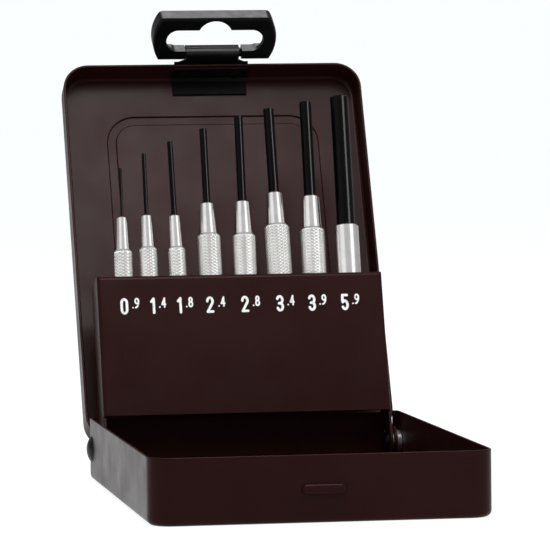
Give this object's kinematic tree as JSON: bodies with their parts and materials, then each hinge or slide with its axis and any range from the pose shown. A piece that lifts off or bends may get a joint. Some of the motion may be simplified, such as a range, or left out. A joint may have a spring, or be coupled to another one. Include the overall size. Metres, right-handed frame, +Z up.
{
  "type": "pin punch set in hinged easel case",
  "caption": "Parallel pin punches with sliding knurled guide sleeves, standing in a pivoting holder inside a hinged sheet-metal case with a folding hanger.",
  "frame": {"origin": "middle of the underside of the tray, on the bench", "axes": "+X to the right seen from the front, +Y from the closed front wall to the hinge, +Z up off the bench"},
  "size_m": [0.1032, 0.2196, 0.1493],
  "materials": {
    "case_paint": "satin",
    "black_enamel": "semi-gloss",
    "steel": "bright",
    "hanger_plastic": "satin",
    "liner": "matte",
    "mark_ink": "matte ink",
    "nickel": "satin nickel",
    "grip_rubber": "matte",
    "black_steel": "polished black oxide"
  },
  "bodies": {
    "base": {"tray_shell": "case_paint", "pivot_rivet_left": "black_enamel", "pivot_rivet_right": "black_enamel", "spacer_washer_left": "steel", "spacer_washer_right": "steel", "inner_washer_left": "steel", "inner_washer_right": "steel"},
    "lid": {"lid_shell": "case_paint", "hanger_strap": "black_enamel", "strap_backing": "black_enamel", "strap_rivets": "black_enamel", "pickup_pin_left": "steel", "pickup_pin_right": "steel"},
    "hanger": {"hanger": "hanger_plastic"},
    "holder": {"holder_channel": "case_paint", "shelf_liner": "liner", "size_marks": "mark_ink"},
    "punch_0_9": {"punch_0_9_pin": "black_steel", "punch_0_9_head": "black_steel"},
    "sleeve_0_9": {"punch_0_9_sleeve": "nickel", "punch_0_9_grip_ring": "grip_rubber"},
    "punch_1_4": {"punch_1_4_pin": "black_steel", "punch_1_4_head": "black_steel"},
    "sleeve_1_4": {"punch_1_4_sleeve": "nickel", "punch_1_4_grip_ring": "grip_rubber"},
    "punch_1_8": {"punch_1_8_pin": "black_steel", "punch_1_8_head": "black_steel"},
    "sleeve_1_8": {"punch_1_8_sleeve": "nickel", "punch_1_8_grip_ring": "grip_rubber"},
    "punch_2_4": {"punch_2_4_pin": "black_steel", "punch_2_4_head": "black_steel"},
    "sleeve_2_4": {"punch_2_4_sleeve": "nickel", "punch_2_4_grip_ring": "grip_rubber"},
    "punch_2_8": {"punch_2_8_pin": "black_steel", "punch_2_8_head": "black_steel"},
    "sleeve_2_8": {"punch_2_8_sleeve": "nickel", "punch_2_8_grip_ring": "grip_rubber"},
    "punch_3_4": {"punch_3_4_pin": "black_steel", "punch_3_4_head": "black_steel"},
    "sleeve_3_4": {"punch_3_4_sleeve": "nickel", "punch_3_4_grip_ring": "grip_rubber"},
    "punch_3_9": {"punch_3_9_pin": "black_steel", "punch_3_9_head": "black_steel"},
    "sleeve_3_9": {"punch_3_9_sleeve": "nickel", "punch_3_9_grip_ring": "grip_rubber"},
    "punch_5_9": {"punch_5_9_pin": "black_steel", "punch_5_9_head": "black_steel"},
    "sleeve_5_9": {"punch_5_9_sleeve": "nickel", "punch_5_9_grip_ring": "grip_rubber"}
  },
  "joints": [
    {"name": "lid_hinge", "type": "hinge", "parent": "base", "child": "lid", "pos_m": [0, 0.067, 0.01], "axis": [-1, 0, 0], "range_deg": [-116, 0]},
    {"name": "holder_hinge", "type": "hinge", "parent": "base", "child": "holder", "pos_m": [0, 0.067, 0.01], "axis": [-1, 0, 0], "range_deg": [-108.3, 0]},
    {"name": "hanger_pivot", "type": "hinge", "parent": "lid", "child": "hanger", "pos_m": [0, 0.13618, 0.13542], "axis": [-1, 0, 0], "range_deg": [-34, 56]},
    {"name": "punch_0_9_lift", "type": "slide", "parent": "holder", "child": "punch_0_9", "axis": [0.0175, 0.3139, 0.9493], "range_m": [0, 0.045]},
    {"name": "sleeve_0_9_slide", "type": "slide", "parent": "punch_0_9", "child": "sleeve_0_9", "axis": [0.0175, 0.3139, 0.9493], "range_m": [0, 0.0167]},
    {"name": "punch_1_4_lift", "type": "slide", "parent": "holder", "child": "punch_1_4", "axis": [0.007, 0.314, 0.9494], "range_m": [0, 0.045]},
    {"name": "sleeve_1_4_slide", "type": "slide", "parent": "punch_1_4", "child": "sleeve_1_4", "axis": [0.007, 0.314, 0.9494], "range_m": [0, 0.0209]},
    {"name": "punch_1_8_lift", "type": "slide", "parent": "holder", "child": "punch_1_8", "axis": [-0.0052, 0.314, 0.9494], "range_m": [0, 0.045]},
    {"name": "sleeve_1_8_slide", "type": "slide", "parent": "punch_1_8", "child": "sleeve_1_8", "axis": [-0.0052, 0.314, 0.9494], "range_m": [0, 0.0251]},
    {"name": "punch_2_4_lift", "type": "slide", "parent": "holder", "child": "punch_2_4", "axis": [0.0052, 0.314, 0.9494], "range_m": [0, 0.045]},
    {"name": "sleeve_2_4_slide", "type": "slide", "parent": "punch_2_4", "child": "sleeve_2_4", "axis": [0.0052, 0.314, 0.9494], "range_m": [0, 0.0254]},
    {"name": "punch_2_8_lift", "type": "slide", "parent": "holder", "child": "punch_2_8", "axis": [0.0157, 0.314, 0.9493], "range_m": [0, 0.045]},
    {"name": "sleeve_2_8_slide", "type": "slide", "parent": "punch_2_8", "child": "sleeve_2_8", "axis": [0.0157, 0.314, 0.9493], "range_m": [0, 0.0292]},
    {"name": "punch_3_4_lift", "type": "slide", "parent": "holder", "child": "punch_3_4", "axis": [-0.0052, 0.314, 0.9494], "range_m": [0, 0.045]},
    {"name": "sleeve_3_4_slide", "type": "slide", "parent": "punch_3_4", "child": "sleeve_3_4", "axis": [-0.0052, 0.314, 0.9494], "range_m": [0, 0.0287]},
    {"name": "punch_3_9_lift", "type": "slide", "parent": "holder", "child": "punch_3_9", "axis": [0.0122, 0.314, 0.9494], "range_m": [0, 0.045]},
    {"name": "sleeve_3_9_slide", "type": "slide", "parent": "punch_3_9", "child": "sleeve_3_9", "axis": [0.0122, 0.314, 0.9494], "range_m": [0, 0.0323]},
    {"name": "punch_5_9_lift", "type": "slide", "parent": "holder", "child": "punch_5_9", "axis": [0.0122, 0.314, 0.9494], "range_m": [0, 0.045]},
    {"name": "sleeve_5_9_slide", "type": "slide", "parent": "punch_5_9", "child": "sleeve_5_9", "axis": [0.0122, 0.314, 0.9494], "range_m": [0, 0.0441]}
  ],
  "couplings": [
    {"joint": "holder_hinge", "follows": "lid_hinge", "ratio": 0.93362}
  ]
}
